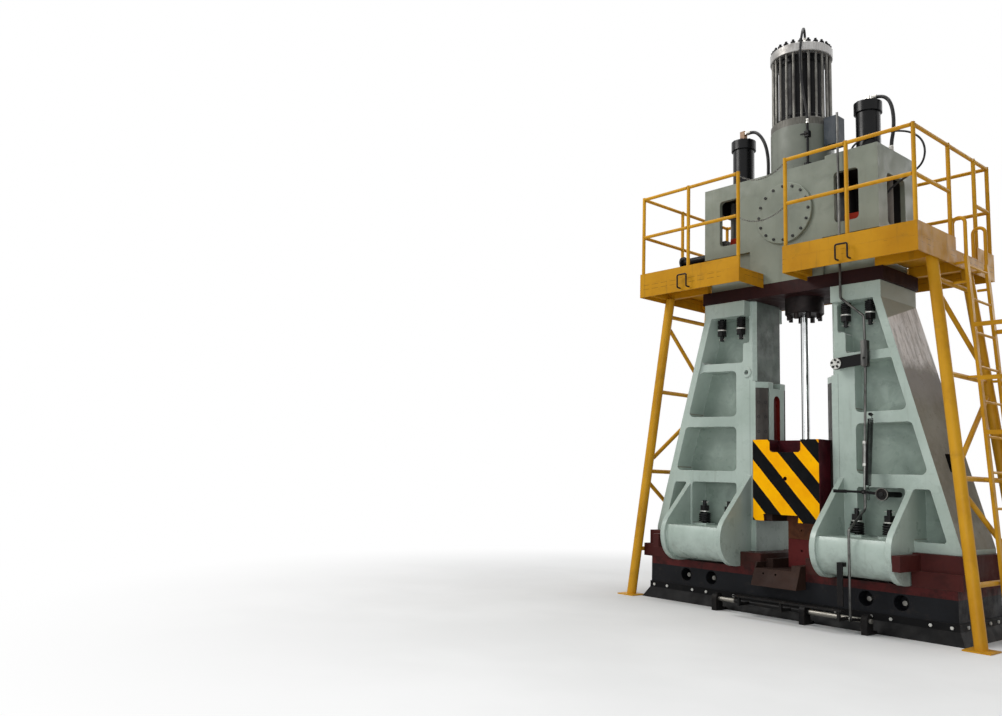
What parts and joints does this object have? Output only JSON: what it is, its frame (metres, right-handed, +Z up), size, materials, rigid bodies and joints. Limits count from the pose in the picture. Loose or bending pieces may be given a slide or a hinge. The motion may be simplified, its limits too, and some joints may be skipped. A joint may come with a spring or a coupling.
{
  "type": "closed-die forging hammer",
  "caption": "Hydraulic closed-die forging hammer: anvil, splayed columns, guided ram and dies, power head with gas vessel, access platform with ladder and foot control.",
  "frame": {"origin": "floor level under the middle of the anvil, on the vertical axis of ram and cylinder", "axes": "+Z up along the ram's stroke; +X right along the front; the operator's side faces -Y"},
  "size_m": [4.7158, 1.885, 6.776],
  "materials": {
    "column_paint": "semi-gloss pale grey-green paint",
    "head_paint": "satin grey-green paint",
    "anvil_paint": "worn black-blue paint",
    "black_paint": "black paint",
    "die_steel": "rust-brown scaled steel",
    "ram_steel": "dark maroon scaled steel, striped front",
    "base_steel": "dark maroon paint",
    "gland_steel": "dark oily iron",
    "bright_steel": "turned bright steel",
    "rod_chrome": "polished chrome",
    "liner_iron": "bored iron",
    "guide_steel": "ground oily steel",
    "spring_steel": "black oiled steel",
    "washer_steel": "zinc-plated steel",
    "box_paint": "blue-grey paint",
    "hose_rubber": "black hose rubber",
    "platform_paint": "yellow-orange enamel"
  },
  "bodies": {
    "frame": {"accumulator_caps": "black_paint", "anvil": "anvil_paint", "anvil_pins": "bright_steel", "anvil_skirt": "black_paint", "clamp_flange": "black_paint", "column_keys": "die_steel", "control_brackets": "black_paint", "cover_bolts": "head_paint", "cylinder_liner": "liner_iron", "gas_cylinder": "head_paint", "gland": "gland_steel", "gland_bolts": "gland_steel", "guard_rails": "platform_paint", "guide_plates": "guide_steel", "head_base_plate": "base_steel", "head_pipes": "bright_steel", "hose_left": "hose_rubber", "hose_loop": "hose_rubber", "hose_pilot": "hose_rubber", "hose_right": "hose_rubber", "ladder": "platform_paint", "ladder_cage": "platform_paint", "left_accumulator": "black_paint", "left_column": "column_paint", "leg_braces": "platform_paint", "lower_die": "die_steel", "lower_die_key": "die_steel", "oil_pipes": "black_paint", "pilot_pipe": "black_paint", "platform_deck": "platform_paint", "platform_fascia": "platform_paint", "platform_legs": "platform_paint", "power_head": "head_paint", "right_accumulator": "black_paint", "right_column": "column_paint", "round_cover": "head_paint", "skirt_bolts": "bright_steel", "sow_block": "die_steel", "tie_nuts": "spring_steel", "tie_rod_nuts": "bright_steel", "tie_rods": "bright_steel", "tie_springs": "spring_steel", "tie_studs": "spring_steel", "tie_washers": "washer_steel", "toe_boards": "platform_paint", "top_ring": "bright_steel", "valve_blocks": "die_steel", "valve_box": "box_paint", "vessel_cover": "bright_steel", "vessel_shell": "black_paint"},
    "ram_group": {"ram": "ram_steel", "piston_rod": "rod_chrome", "upper_die": "die_steel", "upper_die_key": "die_steel"},
    "treadle": {"treadle": "black_paint"},
    "link": {"link_rods": "bright_steel"},
    "rocker": {"rocker_arm": "black_paint"},
    "hand_lever": {"hand_lever": "black_paint"},
    "shutoff_lever": {"valve_lever": "black_paint"}
  },
  "joints": [
    {"name": "ram_slide", "type": "slide", "parent": "frame", "child": "ram_group", "axis": [0, 0, 1], "range_m": [0, 0.95]},
    {"name": "treadle_hinge", "type": "hinge", "parent": "frame", "child": "treadle", "pos_m": [0.25, -0.72, 0.13], "axis": [1, 0, 0], "range_deg": [0, 12], "stiffness_Nm_per_rad": 260, "springref_deg": -51.57},
    {"name": "link_slide", "type": "slide", "parent": "frame", "child": "link", "axis": [0, 0, -1], "range_m": [0, 0.0377]},
    {"name": "rocker_hinge", "type": "hinge", "parent": "frame", "child": "rocker", "pos_m": [0.592, -0.385, 2.705], "axis": [0, 1, 0], "range_deg": [0, 6.75]},
    {"name": "hand_lever_hinge", "type": "hinge", "parent": "frame", "child": "hand_lever", "pos_m": [1.112, -0.493, 1.344], "axis": [0, -1, 0], "range_deg": [0, 11.14]},
    {"name": "shutoff_hinge", "type": "hinge", "parent": "frame", "child": "shutoff_lever", "pos_m": [0.262, -0.359, 5.39], "axis": [0, 1, 0], "range_deg": [0, 90]}
  ],
  "couplings": [
    {"joint": "link_slide", "follows": "treadle_hinge", "m_per_rad": 0.18},
    {"joint": "rocker_hinge", "follows": "treadle_hinge", "ratio": 0.5625},
    {"joint": "hand_lever_hinge", "follows": "treadle_hinge", "ratio": 0.92784}
  ]
}
